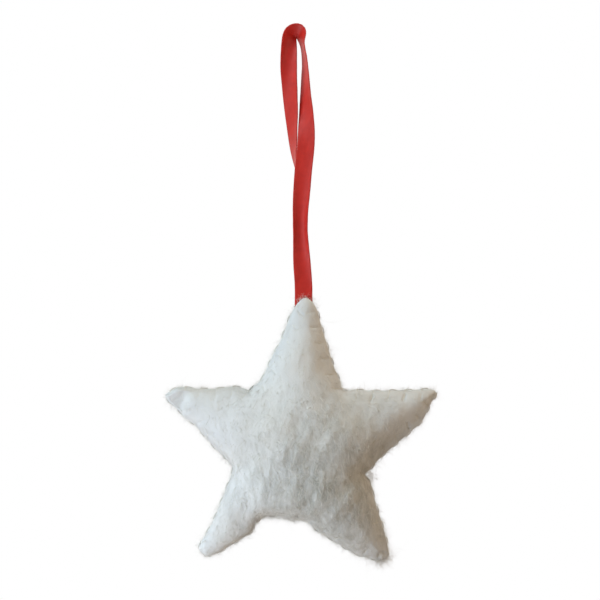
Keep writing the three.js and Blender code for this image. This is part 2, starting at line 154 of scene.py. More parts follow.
# The folded tip's colour is darkened round its middle: painted shade, for the shade its turn away from the
# lamps gets.
SHADED_TIP_MIDDLE = (-44, 13.5)  # the flap's middle, where its painted shade is darkest
TIP_SHADE_REACH = 7
TIP_PAINTED_SHADE = 0.85  # painted shade: the share of its own colour kept there

# The right arm's ridge, which stands over a steep underside.
RIDGE_ENDS = np.array([[[14, 0]], [[43, 14]]])
RIDGE = 1
RIDGE_REACH = 6
RIDGE_FADE = 4  # from the edge

# The stuffing has sunk away from the front along the edges that face this way.
SLUMP_WAY = np.array([0.8, -0.6])
SLUMP = 0.85
SLUMP_POWER = 1.5  # of how squarely an edge faces that way
SLUMP_REACH = 9.5
SLUMP_SPAN = (-2, 12)  # along x, where it grows

# The felt is roughest, and most pilled, round this place, where the pills' mottle also paints the most shade.
WORN = np.array([8, -19])
WORN_REACH = 28
SMOOTH_SHARE = 0.16  # of that roughness, far away from it

# Stitches.
STITCH_PITCH = 5.8
FIRST_STITCH = 6.2  # along the edge from the tip of the top point
STITCH_LEAN = {-1: 0.2, 1: -0.45}  # along the edge, of the pitch, on the front and on the back
BITE = 3.4  # from the edge to a stitch's hole
SLIT_SHARE = 0.6  # of the thread's way to the edge, where it lies in a groove
SLIT_DEPTH = 0.75  # of that groove
SLIT_WIDTH = 0.42
PUCKER_DEPTH = 0.12  # of the felt round the groove
PUCKER_WIDTH = 1.3
PULLS = (0.15, 1)  # the least and the most of those depths that a stitch has
HIDDEN_PULL = 0.9  # how much less where the nap hides them
# The nap hides the stitches on the left leg, and shares of them at the top and on the left.
LEG_X = (4, -4)
LEG_Z = (-12, -20)
TOP_HIDDEN = 0.6
TOP_Z = (36, 42)
LEFT_HIDDEN = 0.75
LEFT_X = (0, -6)

# Thread.
THREAD_RADIUS = 0.2
THREAD_STEP = 0.16
THREAD_SUNK = 0.12  # below the felt's groove
HIDDEN_SUNK = 0.2  # how much deeper where the nap covers it
HOLE_Y = 1  # of its places in a hole
PAST_EDGE = 0.25  # how far outside the edge it crosses it
CROSSING_Y = 0.35
# Its places on a face, as shares of its way between a hole and the edge.
FRONT_SHARES = (0.12, 0.5, 0.9)
BACK_SHARES = (0.1, 0.5, 0.88)
END_SHARES = (0.1, 0.5, 0.9)
END_LEG = 2.2  # from the last stitch to the thread's last crossing of the edge
PLY_RADIUS = 0.56  # of the thread's
PLY_OFFSET = 0.5
PLY_PITCH = 1.3
PLY_SIDES = 6
KNOT_SIZE = 0.2  # a third of its radius without the thread's own
KNOT_LIFT = 1.5  # of that size, from the felt
KNOT_STEPS = 60
OBLIQUE = (0.3, 0.5, 0.8)  # a way that no thread starts along
NEAREST = 4  # of a face's points, which give its height at a place
NEAREST_SOFT = 0.05

# Fibres.
NAP_COUNT = 9500  # on each face
NAP_RADIUS = 0.028
NAP_SPREAD = 0.6  # of its ways round straight down
NAP_RISE = (0.05, 0.12)  # off the face, its middle and spread
NAP_LENGTHS = (1, 4)
NAP_DEPTH = 0.05  # of its roots in the felt
EDGE_HAIRS = 7000
EDGE_DEPTH = 1.2  # of their roots from the edge
EDGE_HALF = 1.4  # of their roots from the middle plane
EDGE_SPLAY = 0.3
EDGE_SPREAD = 0.75
EDGE_LENGTHS = (2.2, 0.45)  # beyond the least: a gamma's shape and scale
EDGE_LEAST = 0.5
CURLS = 190  # thicker fibres worked loose from the front
CURL_RADIUS = 0.07
CURL_RADII = (0.6, 1.3)  # of that, the least and the most
CURL_LENGTHS = (1, 3.2)
CURL_LIFT = 0.1  # of their roots, and of their ways, off the felt
# Tufts at the edge: middle, spread, way, length and count.
TUFTS = [
    ((28.6, -41.2), (1.6, 0.9), (0.1, 0, -1), 4.6, 700),  # right foot
    ((-6, -27.4), (7, 0.5), (0, 0, -1), 1.7, 900),  # crotch
    ((1.3, 50.2), (1.3, 0.8), (0, 0, 1), 1.4, 350),  # top
    ((24.6, -13), (1, 1.6), (1, 0, -0.4), 2.2, 200),  # notch on the right
]
TUFT_SPREAD = 0.55  # of their ways
TUFT_LENGTHS = (0.3, 1)  # of the tuft's, the least and the most
HAIR_SWAY = 0.16  # of its length, to the side
HAIR_BENDS = 4.5  # radians of sway along it
HAIR_TAPER = 0.75

SEEDS = {"nap": 20, "edge": 40, "tufts": 45, "curls": 50, "pulls": 60, "fill": 90}

# Ribbon.
RIBBON_WIDTH = 6.35
RIBBON_THICK = 0.26
RIBBON_COLUMNS = 15
RIBBON_STEP = 0.6
SELVEDGE = 0.35  # how much thicker its edges are
SELVEDGE_SPAN = (0.88, 0.96)  # of its half width
CRUMPLE = 0.12
ANGLE_WEIGHT = 0.05  # of a degree beside a millimetre, in the curve of its route
LEAST_CUP = 0.02  # in radians
# Up the back strand, over the hook and down the front strand: x, y, z, roll and cup in degrees.
RIBBON_ROUTE = [
    (0.3, 0.35, -105.2, 270, 0), (1.7, 0.35, -101, 270, 0), (2.2, 0.35, -97.8, 270, 2),  # back tail
    (2.2, 0.4, -94.9, 270, 3), (2.2, 0.5, -91.6, 270, 5), (1.9, 0.9, -87.5, 264, 8),
    (1.6, 1.15, -83.6, 255, 8), (1.5, 1.5, -78, 243, 10), (1.1, 1.9, -70, 226, 10), (0.6, 2, -61, 208, 8),
    (-0.3, 2, -51, 184, 6), (-1.3, 1.8, -43, 163, 4), (-1.7, 1.5, -36, 148, 6), (-2.1, 1, -28, 132, 12),
    (-2.7, 0.4, -18, 114, 28), (-3.2, 0.1, -10, 88, 42), (-3.35, 0, -5, 66, 34), (-3.05, 0, -1.9, 52, 14),
    (-2.2, 0, -0.3, 48, 4), (-0.6, 0, 0.22, 52, 0), (0.55, 0, 0.02, 50, 2), (1.15, 0, -0.8, 40, 3),  # top
    (1.5, 0, -2.3, 26, 4), (1.8, 0, -4, 15, 5), (2.15, -0.1, -6.2, 11, 5), (2.65, -0.3, -9.8, 15, 6),
    (2.9, -0.7, -15.5, 23, 6), (3, -1.3, -22.5, 34, 6), (3.25, -1.9, -31, 55, 6), (3.1, -2.2, -40, 80, 8),
    (2.25, -2.2, -49, 84, 18), (1.45, -2, -60, 84, 42), (1.2, -1.7, -69, 82, 66), (1.4, -1.4, -77, 84, 54),
    (1.65, -1.15, -83.6, 88, 24), (1.95, -0.9, -87.5, 91, 22), (2.15, -0.5, -91.6, 90, 10),
    (2.2, -0.4, -94.9, 90, 4), (2.2, -0.35, -97.8, 90, 2), (2.7, -0.35, -101, 90, 0),
    (4.1, -0.35, -105.2, 90, 0),  # front tail
]
NECK_CUT = -86  # where the loop's strip gives way to the two strands that enter the felt


def centripetal(points, closed):
    """Close points on a smooth curve through the given ones."""
    p = np.asarray(points, float)
    count = len(p)
    if closed:
        p = np.vstack([p[-1], p, p[0], p[1]])
    else:
        p = np.vstack([2 * p[0] - p[1], p, 2 * p[-1] - p[-2]])
        count -= 1
    out = []
    for i in range(count):
        a, b, c, d = p[i : i + 4]
        steps = [max(np.linalg.norm(q - r), 1e-6) ** 0.5 for q, r in ((b, a), (c, b), (d, c))]
        t = np.cumsum([0, *steps])
        u = np.linspace(t[1], t[2], SPAN_POINTS, endpoint=False)[:, None]
        ab = ((t[1] - u) * a + u * b) / t[1]
        bc = ((t[2] - u) * b + (u - t[1]) * c) / (t[2] - t[1])
        cd = ((t[3] - u) * c + (u - t[2]) * d) / (t[3] - t[2])
        abc = ((t[2] - u) * ab + u * bc) / t[2]
        bcd = ((t[3] - u) * bc + (u - t[1]) * cd) / (t[3] - t[1])
        out.append(((t[2] - u) * abc + (u - t[1]) * bcd) / (t[2] - t[1]))
    return np.vstack([*out, out[0][:1] if closed else p[-2:-1]])


def lengths_along(line):
    return np.concatenate([[0], np.cumsum(np.linalg.norm(np.diff(line, axis=0), axis=1))])


def at_length(line, along):
    """The points at some distances along a line."""
    s = lengths_along(line)
    return np.stack([np.interp(along, s, column) for column in line.T], axis=1)


def unit(vectors):
    """The vectors at length 1."""
    return vectors / (np.linalg.norm(vectors, axis=-1, keepdims=True) + TINY)


def smoothstep(x):
    x = np.clip(x, 0, 1)
    return x * x * (3 - 2 * x)


def ramp(x, span):
    """Rises smoothly from 0 at the span's first end to 1 at its second."""
    return smoothstep((x - span[0]) / (span[1] - span[0]))


def bell(distance, reach):
    """Falls off smoothly on both sides of distance 0."""
    return np.exp(-((distance / reach) ** 2))


EDGE = centripetal(OUTLINE, closed=True)
EDGE_LENGTH = lengths_along(EDGE)[-1]
STITCH_COUNT = round((EDGE_LENGTH - 2 * FIRST_STITCH) / STITCH_PITCH) + 1
STITCHES = np.linspace(FIRST_STITCH, EDGE_LENGTH - FIRST_STITCH, STITCH_COUNT)


def edge_at(along):
    return at_length(EDGE, np.mod(along, EDGE_LENGTH))


def edge_inward(along):
    """The edge's inward direction at distances along it."""
    along = np.asarray(along)
    tangent = edge_at(along + TANGENT_REACH) - edge_at(along - TANGENT_REACH)
    return unit(np.stack([tangent[:, 1], -tangent[:, 0]], axis=1))


def near_segments(flat, starts, ends):
    """Distances from flat points to the nearest of some segments, and which that is."""
    span = ends - starts
    t = np.einsum("psk,sk->ps", flat[:, None] - starts, span) / np.einsum("sk,sk->s", span, span)
    near = starts + np.clip(t, 0, 1)[..., None] * span
    distance = np.linalg.norm(flat[:, None] - near, axis=2)
    return distance.min(axis=1), distance.argmin(axis=1)


def at_depth(flat, y):
    """Flat points or ways, with their share of the depth."""
    return np.stack([flat[:, 0], y, flat[:, 1]], axis=1)


def distance_to_edge(flat):
    line = edge_at(np.arange(0, EDGE_LENGTH, COARSE_STEP))
    return near_segments(flat, line, np.roll(line, -1, axis=0))[0]


def put_in_scene(name, data):
    made = bpy.data.objects.new(name, data)
    bpy.context.scene.collection.objects.link(made)
    return made


def new_object(name, points, faces, made_of=None):
    """A smooth mesh of points in millimetres."""
    mesh = bpy.data.meshes.new(name)
    mesh.from_pydata((np.asarray(points) * MM).tolist(), [], [list(map(int, f)) for f in faces])
    mesh.polygons.foreach_set("use_smooth", [True] * len(mesh.polygons))
    if made_of:
        mesh.materials.append(made_of)
    return put_in_scene(name, mesh)


def points_of(piece):
    """A piece's points, modifiers included, in millimetres, and its faces."""
    mesh = piece.evaluated_get(bpy.context.evaluated_depsgraph_get()).to_mesh()
    points = np.zeros(len(mesh.vertices) * 3)
    mesh.vertices.foreach_get("co", points)
    return points.reshape(-1, 3) / MM, [tuple(p.vertices) for p in mesh.polygons]


def triangles_of(faces):
    return np.array([(f[0], f[i], f[i + 1]) for f in faces for i in range(1, len(f) - 1)])


def normals_of(points, faces):
    corners = triangles_of(faces)
    a, b, c = (points[corners[:, k]] for k in range(3))
    across = np.cross(b - a, c - a)
    total = np.zeros_like(points)
    for k in range(3):
        np.add.at(total, corners[:, k], across)
    return unit(total)


def tube_faces(rings, sides):
    """The quads of a tube whose points go round it ring by ring."""
    corners = [(i * sides + j, i * sides + (j + 1) % sides) for i in range(rings - 1) for j in range(sides)]
    return [(a, b, b + sides, a + sides) for a, b in corners]


# Felt.
def hex_grid(step):
    lo, hi = EDGE.min(axis=0), EDGE.max(axis=0)
    rows = np.arange(lo[1], hi[1], step * math.sqrt(3) / 2)
    return np.array(
        [(x + (i % 2) * step / 2, z) for i, z in enumerate(rows) for x in np.arange(lo[0], hi[0], step)]
    )


def inside_edge(points):
    line = EDGE[:-1]
    x, z = points[:, 0][:, None], points[:, 1][:, None]
    (x0, z0), (x1, z1) = line.T, np.roll(line, -1, axis=0).T
    crossing = (z0 > z) != (z1 > z)
    with np.errstate(divide="ignore", invalid="ignore"):
        at = x0 + (z - z0) * (x1 - x0) / (z1 - z0)
    return (crossing & (x < at)).sum(axis=1) % 2 == 1


def flat_sheet():
    """The star's flat points, edge first, its triangles and its count of edge points."""
    rim = edge_at(np.linspace(0, EDGE_LENGTH, round(EDGE_LENGTH / EDGE_STEP), endpoint=False))
    bands = [(EDGE_STEP, EDGE_GAP * EDGE_STEP, RIM_BAND), (INNER_STEP, RIM_BAND, math.inf)]
    grids = []
    for step, least, most in bands:
        grid = hex_grid(step)
        grid = grid[inside_edge(grid)]
        distance = distance_to_edge(grid)
        grids.append(grid[(distance >= least) & (distance < most)])
    points = np.vstack([rim, *grids])
    loop = [(i, (i + 1) % len(rim)) for i in range(len(rim))]
    found = delaunay_2d_cdt([Vector(p) for p in points], loop, [], 1, MERGED)
    triangles = [tuple(f) for f in found[2]]
    points = np.array([tuple(p) for p in found[0]])
    flat = points[np.array(triangles)]
    turn = np.cross(flat[:, 1] - flat[:, 0], flat[:, 2] - flat[:, 0])
    triangles = [t if s > 0 else t[::-1] for t, s in zip(triangles, turn)]
    return points, triangles, len(rim)


def film_over(flat, triangles, rim_count):
    """How high a soap film under pressure stands at each point: 0 on the rim, 1 at most."""
    corners = np.array(triangles)
    area = np.zeros(len(flat))
    edges = []
    for k in range(3):
        a, b, c = (corners[:, (k + j) % 3] for j in range(3))
        u, v = flat[a] - flat[c], flat[b] - flat[c]
        double_area = np.abs(u[:, 0] * v[:, 1] - u[:, 1] * v[:, 0])
        area += np.bincount(a, double_area / 6, len(flat))
        edges.append((a, b, (u * v).sum(axis=1) / double_area / 2))
    a, b, weight = (np.concatenate(x) for x in zip(*edges))

    def pull(height):
        flow = weight * (height[a] - height[b])
        total = np.bincount(a, flow, len(flat)) - np.bincount(b, flow, len(flat))
        total[:rim_count] = 0
        return total

    # Conjugate gradients.
    height = np.zeros(len(flat))
    area[:rim_count] = 0
    left = area.copy()
    way = left.copy()
    size = left @ left
    for _ in range(FILM_ROUNDS):
        pulled = pull(way)
        step = size / (way @ pulled)
        height += step * way
        left -= step * pulled
        new_size = left @ left
        if new_size < FILM_ERROR * (area @ area):
            break
        way = left + new_size / size * way
        size = new_size
    return np.clip(height / height.max(), 0, 1)


def swell(skin_points, faces, pinned):
    """Blows up a closed skin by cloth simulation, at SIM_SCALE."""
    skin = new_object("swelling", skin_points * SIM_SCALE, faces)
    group = skin.vertex_groups.new(name="pinned")
    group.add([int(i) for i in pinned], 1, "REPLACE")
    cloth = skin.modifiers.new("cloth", "CLOTH")
    settings = cloth.settings
    settings.vertex_group_mass = "pinned"
    settings.quality = SIM_QUALITY
    for kind, stiffness in SIM_STIFFNESS.items():
        setattr(settings, kind + "_stiffness", stiffness)
    settings.shrink_min = -SIM_SLACK
    settings.use_pressure = True
    settings.uniform_pressure_force = SIM_PRESSURE
    settings.effector_weights.gravity = 0
    cloth.collision_settings.use_collision = False
    cloth.point_cache.frame_end = SIM_FRAMES
    for frame_number in range(1, SIM_FRAMES + 1):
        bpy.context.scene.frame_set(frame_number)
    swollen = points_of(skin)[0] / SIM_SCALE
    bpy.data.meshes.remove(skin.data)
    bpy.context.scene.frame_set(1)
    return swollen


def ribbon_share(flat):
    """1 where the ribbon's tails lie between the layers, and 0 away from them."""
    return ramp(np.abs(flat[:, 0] - ROOM_X), ROOM_SIDES) * ramp(flat[:, 1], ROOM_END)


def relaxed(values, triangles, fixed_count, rounds):
    """Smooths values at the sheet's points, except at the first ones."""
    corners = np.array(triangles)
    a = corners.ravel()
    b = np.roll(corners, -1, axis=1).ravel()
    a, b = np.concatenate([a, b]), np.concatenate([b, a])
    degree = np.bincount(a, minlength=len(values))[:, None]
    values = values.copy()
    for _ in range(rounds):
        total = np.stack([np.bincount(a, values[b, k], len(values)) for k in range(3)], axis=1)
        values[fixed_count:] = (total / degree)[fixed_count:]
    return values


def star_skins():
    """Outer faces of both felt layers: their points, from the star's centre, and triangles."""
    flat, triangles, rim_count = flat_sheet()
    film = film_over(flat, triangles, rim_count)
    along = np.linspace(0, EDGE_LENGTH, rim_count, endpoint=False)
    nearest = np.abs(along[:, None] - STITCHES).min(axis=1)
    height = RIM_OUTER + (CROWN - RIM_OUTER) * film**CROWN_POWER
    pinch = RIM_PINCH * bell(nearest, PINCH_REACH)
    height[:rim_count] = RIM_OUTER - pinch + RIBBON_ROOM * ribbon_share(flat[:rim_count])
    layers = [at_depth(flat, side * height) for side in (-1, 1)]
    count = len(flat)
    faces = triangles + [(c + count, b + count, a + count) for a, b, c in triangles]
    for i in range(rim_count):
        j = (i + 1) % rim_count
        faces.append((i, j, j + count, i + count))
    points = np.vstack(layers)
    pinned = [i + start for start in (0, count) for i in range(rim_count)]
    swollen = swell(points, faces, pinned)
    moves = [relaxed(m, triangles, rim_count, SIM_SOFTENED) for m in np.split(swollen - points, 2)]
    points = points + np.vstack(moves)
    return points[:count], points[count:], triangles


def smooth_sheet(points, faces):
    """One subdivision of an open sheet."""
    sheet = new_object("sheet", points, faces)
    sheet.modifiers.new("finer", "SUBSURF").levels = 1
    finer = points_of(sheet)
    bpy.data.meshes.remove(sheet.data)
    return finer


def noise_at(points, size, seed, tall=1):
    """Smooth noise between about -1 and 1, whose lumps are size across and tall times that high."""
    q = points / (size * np.array([1, 1, tall])) + seed * SEED_STEP
    return np.array([noise.noise(Vector(p)) for p in q])


def lumps(points, side, kind):
    """How high one kind of lumps stands at a face's points."""
    height, size, seed, tall = kind
    return height * noise_at(points, size, seed + side, tall)


def stitch_lines(side):
    """Where the thread lies on a face, flat: each hole, its place on the edge, and just past it."""
    crossing = STITCHES + STITCH_LEAN[side] * STITCH_PITCH
    ends = edge_at(crossing)
    return edge_at(STITCHES) + BITE * edge_inward(STITCHES), ends, ends - PAST_EDGE * edge_inward(crossing)


def outward_at(flat):
    """The way out of the star at the nearest edges, which fades where they face opposite ways."""
    along = np.arange(0, EDGE_LENGTH, COARSE_STEP)
    line, way = edge_at(along), -edge_inward(along)
    share = (((flat[:, None] - line) ** 2).sum(axis=2) + 1) ** -1.5
    return share @ way / share.sum(axis=1)[:, None]


def roughness_at(flat):
    """How rough the felt has got at flat points, from SMOOTH_SHARE to 1."""
    away = np.linalg.norm(flat - WORN, axis=1)
    return SMOOTH_SHARE + (1 - SMOOTH_SHARE) * bell(away, WORN_REACH)


def covered_at(flat):
    """How far the felt's nap hides the stitches, from 0 to 1."""
    x, z = flat[..., 0], flat[..., 1]
    leg = ramp(x, LEG_X) * ramp(z, LEG_Z)
    return 1 - (1 - leg) * (1 - TOP_HIDDEN * ramp(z, TOP_Z)) * (1 - LEFT_HIDDEN * ramp(x, LEFT_X))


def grooves(flat, side):
    """How deep the thread pulls a face in."""
    holes, ends, _ = stitch_lines(side)
    away, which = near_segments(flat, holes, holes + (ends - holes) * SLIT_SHARE)
    pull = np.random.default_rng(SEEDS["pulls"] + side).uniform(*PULLS, STITCH_COUNT)[which]
    pull *= 1 - HIDDEN_PULL * covered_at(flat)
    return pull * (SLIT_DEPTH * bell(away, SLIT_WIDTH) + PUCKER_DEPTH * bell(away, PUCKER_WIDTH))


def fold_and_slump(points, flat, edge):
    """Folds the front's left point flat and sinks its right side."""
    past = (flat - FOLD) @ FOLD_WAY
    tip = FOLD_FLATTENS * ramp(past, FOLD_SPAN) * smoothstep(edge / FOLD_RIM)
    flap = -FOLD_HEIGHT + FOLD_LEAN * (FOLD[1] - flat[:, 1])
    points[:, 1] += tip * (flap - points[:, 1])
    slump = (outward_at(flat) @ SLUMP_WAY).clip(0, 1) ** SLUMP_POWER
    slump *= ramp(edge, (SLUMP_REACH, 0)) * ramp(flat[:, 0], SLUMP_SPAN)
    points[:, 1] += SLUMP * slump * (-RIM_OUTER - points[:, 1])


def front_forms(flat, edge):
    """How high the front's crease, ridge, filled body and steps stand."""
    past = (flat - FOLD) @ FOLD_WAY
    rise = CREASE * bell(past - CREASE_AT, CREASE_REACH) * smoothstep(edge / LUMPS_FADE)
    ridge, _ = near_segments(flat, *RIDGE_ENDS)
    rise += RIDGE * bell(ridge, RIDGE_REACH) * smoothstep(edge / RIDGE_FADE)
    within = np.linalg.norm((flat - BODY_CENTRE) / BODY_RADII, axis=1)
    form = BODY_LIFT * ramp(within, BODY_EDGE)
    for height, rises, z, reach in STEPS:
        form += height * ramp(flat[:, 0], rises) * bell(flat[:, 1] - z, reach)
    return rise + form * smoothstep(edge / FORM_FADE)


def felt_face(skin, triangles, side):
    """A layer's outer face, with all its lumps, forms and grooves."""
    faces = triangles if side < 0 else [t[::-1] for t in triangles]
    points, faces = smooth_sheet(skin, faces)
    flat = points[:, [0, 2]]
    edge = distance_to_edge(flat)
    inner = smoothstep(edge / LUMPS_FADE)
    rough = roughness_at(flat)
    leaning = points - points[:, [2]] * (LUMPS_LEAN, 0, 0)
    rise = inner * (lumps(points, side, SWELLS) + rough * lumps(leaning, side, LUMPS))
    for kind in SURFACE:
        rise += rough * lumps(points, side, kind)
    rise -= grooves(flat, side)
    if side < 0:
        fold_and_slump(points, flat, edge)
        rise += front_forms(flat, edge)
    return points + normals_of(points, faces) * rise[:, None], faces


def inner_face(face, faces, side):
    """A layer's inner face, which stays clear of the other layer and of the ribbon."""
    flat = face[:, [0, 2]]
    square = ramp(distance_to_edge(flat), (SQUARE_BAND, 0))[:, None]
    normal = normals_of(face, faces) * (1 - square) + square * (0, side, 0)
    inner = face - unit(normal) * FELT
    least = RIM_INNER + RIBBON_ROOM * ribbon_share(flat)
    inner[:, 1] = side * np.maximum(side * inner[:, 1], least)
    return inner


def closed_between(name, face, other, faces, made_of):
    """A closed piece between two sheets of the same faces."""
    count = len(face)
    edges = {(a, b) for f in faces for a, b in zip(f, f[1:] + f[:1])}
    wall = [(b, a, a + count, b + count) for a, b in sorted(edges) if (b, a) not in edges]
    shell = faces + [tuple(i + count for i in reversed(f)) for f in faces] + wall
    return new_object(name, np.vstack([face, other]) + STAR_CENTRE, shell, made_of)


def stuffing(front, back, faces, made_of):
    """Lumpy fill just inside both layers, below the ribbon's ends and short of the thread."""
    lumpy = 1 - FILL_LUMPS * (0.5 + 0.5 * noise_at(front, FILL_LUMP_SIZE, SEEDS["fill"]))
    edge = distance_to_edge(front[:, [0, 2]])
    thin = np.minimum(-front[:, 1], back[:, 1]) < FILL_GAP + FILL_LEAST
    left_out = thin | (edge < BITE + FILL_SHORT) | (front[:, 2] > FILL_TOP)
    kept = [f for f in faces if not any(left_out[i] for i in f)]
    used = sorted({i for f in kept for i in f})
    place = {i: k for k, i in enumerate(used)}
    kept = [tuple(place[i] for i in f) for f in kept]
    sheets = [front[used], back[used]]
    for sheet in sheets:
        sheet[:, 1] = (sheet[:, 1] - np.sign(sheet[:, 1]) * FILL_GAP) * lumpy[used]
    return closed_between("fibre_fill", *sheets, kept, made_of)


# Materials.
def add_node(tree, kind, links=(), **values):
    """A new node with these values, and other nodes' outputs joined to its sockets."""
    node = tree.nodes.new("ShaderNode" + kind)
    for key, value in values.items():
        if hasattr(node, key):
            setattr(node, key, value)
        elif key.startswith("Vector_"):
            node.inputs[int(key[-1])].default_value = value
        else:
            node.inputs[key.replace("_", " ")].default_value = value
    for socket, source in dict(links).items():
        tree.links.new(source, node.inputs[socket])
    return node


def material(name, **sockets):
    """A material with these values on its shader, and functions that add a node and join one to it."""
    made = bpy.data.materials.new(name)
    made.use_nodes = True
    tree = made.node_tree
    shader = tree.nodes["Principled BSDF"]
    for key, value in sockets.items():
        shader.inputs[key.replace("_", " ")].default_value = value

    def join(source, socket):
        tree.links.new(source, shader.inputs[socket])

    return made, partial(add_node, tree), join


def colour_between(add, factor, dark, light, low=0.3, high=0.7):
    """A colour that runs from dark to light as factor runs from low to high."""
    scale = add("ValToRGB", {"Fac": factor})
    for element, position, colour in zip(scale.color_ramp.elements, (low, high), (dark, light)):
        element.position = position
        element.color = (*colour, 1)
    return scale.outputs["Color"]


def felt_material():
    """Brushed white wool with patches, a folded tip darkened by painted shade and, where it is worn, strands
    and pills whose dark mottle is partly painted shadow.
    """
    made, add, join = material(
        "felt_wool", Roughness=1.0, Sheen_Weight=0.4, Sheen_Roughness=0.6, Specular_IOR_Level=0.1
    )
    place = add("TexCoord").outputs["Object"]
    flat = add("VectorMath", {0: place}, operation="MULTIPLY", Vector_001=(1, 0, 1)).outputs[0]

    def near(middle, reach, inside, outside):
        """A value that runs from inside, at a place on the star, to outside, at its reach."""
        x, z = middle
        centre = Vector((x + STAR_CENTRE[0], 0, z + STAR_CENTRE[2])) * MM
        away = add("VectorMath", {0: flat}, operation="DISTANCE", Vector_001=centre).outputs["Value"]
        ranged = add("MapRange", {"Value": away}, From_Max=reach * MM, To_Min=inside, To_Max=outside)
        return ranged.outputs[0]

    rough = near(WORN, 1.5 * WORN_REACH, 1, SMOOTH_SHARE)
    upright = add("Mapping", {"Vector": place}, Rotation=(0, 0.3, 0), Scale=(1, 1, 0.42)).outputs["Vector"]
    patches = add("TexNoise", {"Vector": place}, Scale=60, Detail=3).outputs["Fac"]
    mottle = add("TexNoise", {"Vector": upright}, Scale=330, Detail=4, Roughness=0.6).outputs["Fac"]
    strands = add("TexNoise", {"Vector": upright}, Scale=900, Detail=3, Roughness=0.5).outputs["Fac"]
    fibres = add("TexNoise", {"Vector": place}, Scale=3500, Detail=3, Roughness=0.6).outputs["Fac"]
    ground = colour_between(add, patches, (0.78, 0.81, 0.85), (0.82, 0.83, 0.84))
    # Where the felt is worn, the pills' dark mottle is partly the wool's own wear and partly painted shade:
    # the pills' shadows and a darker middle.
    pills_and_painted_shade = colour_between(add, mottle, (0.57, 0.57, 0.52), (0.93, 0.93, 0.9), 0.34, 0.6)
    streaks = colour_between(add, strands, (0.9, 0.9, 0.88), (1, 1, 1), 0.36, 0.6)
    colour = ground
    for shade in (pills_and_painted_shade, streaks):
        links = {"Fac": rough, "Color1": colour, "Color2": shade}
        colour = add("MixRGB", links, blend_type="MULTIPLY").outputs["Color"]
    # Painted shade: the folded tip's colour is darkened round its middle.
    links = {"Color1": colour, "Color2": near(SHADED_TIP_MIDDLE, TIP_SHADE_REACH, TIP_PAINTED_SHADE, 1)}
    join(add("MixRGB", links, blend_type="MULTIPLY", Fac=1).outputs["Color"], "Base Color")
    woolly = add("Math", {0: mottle, 1: strands}, operation="ADD").outputs[0]
    heights = add("Math", {0: woolly, 1: fibres}, operation="ADD").outputs[0]
    deep = add("Math", {0: heights, 1: rough}, operation="MULTIPLY").outputs[0]
    join(add("Bump", {"Height": deep}, Strength=0.6, Distance=0.0004).outputs["Normal"], "Normal")
    return made


# Three fibres' noise scale and detail, two colours, roughness, sheen, gloss and bump.
FIBRES = {
    "felt_fibre": (300, 2, (0.8, 0.8, 0.76), (0.92, 0.92, 0.9), 0.9, 0.3, 0.2, 0),
    "stuffing_fibre": (350, 5, (0.74, 0.74, 0.72), (0.9, 0.9, 0.88), 1, 0.4, 0.5, 0.001),
    "thread_cotton": (3000, 2, (0.74, 0.74, 0.7), (0.88, 0.88, 0.84), 0.85, 0.3, 0.5, 0),
}


def fibre_material(name):
    """A material whose colour, and bump where it has one, vary finely."""
    scale, detail, dark, light, rough, sheen, gloss, bump = FIBRES[name]
    made, add, join = material(name, Roughness=rough, Sheen_Weight=sheen, Specular_IOR_Level=gloss)
    place = add("TexCoord").outputs["Object"]
    tone = add("TexNoise", {"Vector": place}, Scale=scale, Detail=detail).outputs["Fac"]
    join(colour_between(add, tone, dark, light), "Base Color")
    if bump:
        join(add("Bump", {"Height": tone}, Strength=0.9, Distance=bump).outputs["Normal"], "Normal")
    return made


# Fibres.
def hairs(name, roots, ways, lengths, radii, seed, made_of, droop, segments=4, normals=None):
    """Tapered fibres, of one radius or one each, that curl off their ways or along a surface."""
    chance = np.random.default_rng(seed)
    count = len(roots)
    ways = unit(ways)
    across = unit(np.cross(ways, chance.normal(size=(count, 3)) if normals is None else normals))
    curl = chance.normal(0, 1, (count, 1)) * droop
    wave = chance.uniform(0, 2 * math.pi, (count, 1))
    third = np.cross(ways, across)
    rings = []
    for t in np.linspace(0, 1, segments + 1):
        sway = HAIR_SWAY * (np.sin(wave + HAIR_BENDS * t) - np.sin(wave))
        centre = roots + lengths[:, None] * (ways * t + across * curl * t * t + third * sway)
        thick = np.reshape(radii, (-1, 1)) * (1 - HAIR_TAPER * t * t)
        for turn in (0, 2 * math.pi / 3, 4 * math.pi / 3):
            rings.append(centre + thick * (across * math.cos(turn) + third * math.sin(turn)))
    per = len(rings)
    ends = [(2, 1, 0), (per - 3, per - 2, per - 1)]
    starts = np.arange(count)[:, None, None] * per
    quads = (starts + np.array(tube_faces(segments + 1, 3))).reshape(-1, 4).tolist()
    caps = (starts + np.array(ends)).reshape(-1, 3).tolist()
    return new_object(name, np.stack(rings, axis=1).reshape(-1, 3), quads + caps, made_of)


def scattered(points, faces, count, seed, weight):
    """Random places on a surface, spread by area and weight, its normals there, and the generator."""
    chance = np.random.default_rng(seed)
    corners = triangles_of(faces)
    a, b, c = (points[corners[:, k]] for k in range(3))
    size = np.linalg.norm(np.cross(b - a, c - a), axis=1) * weight(((a + b + c) / 3)[:, [0, 2]])
    pick = chance.choice(len(corners), count, p=size / size.sum())
    u, v = np.sqrt(chance.random(count)), chance.random(count)
    share = np.stack([1 - u, u * (1 - v), u * v], axis=1)
    normal = normals_of(points, faces)[corners[pick]]
    place = np.einsum("ck,ckx->cx", share, points[corners[pick]])
    return place, np.einsum("ck,ckx->cx", share, normal), chance


def along_face(ways, normal):
    """The ways, turned to lie flat on a face."""
    return unit(ways - normal * (ways * normal).sum(axis=1)[:, None])


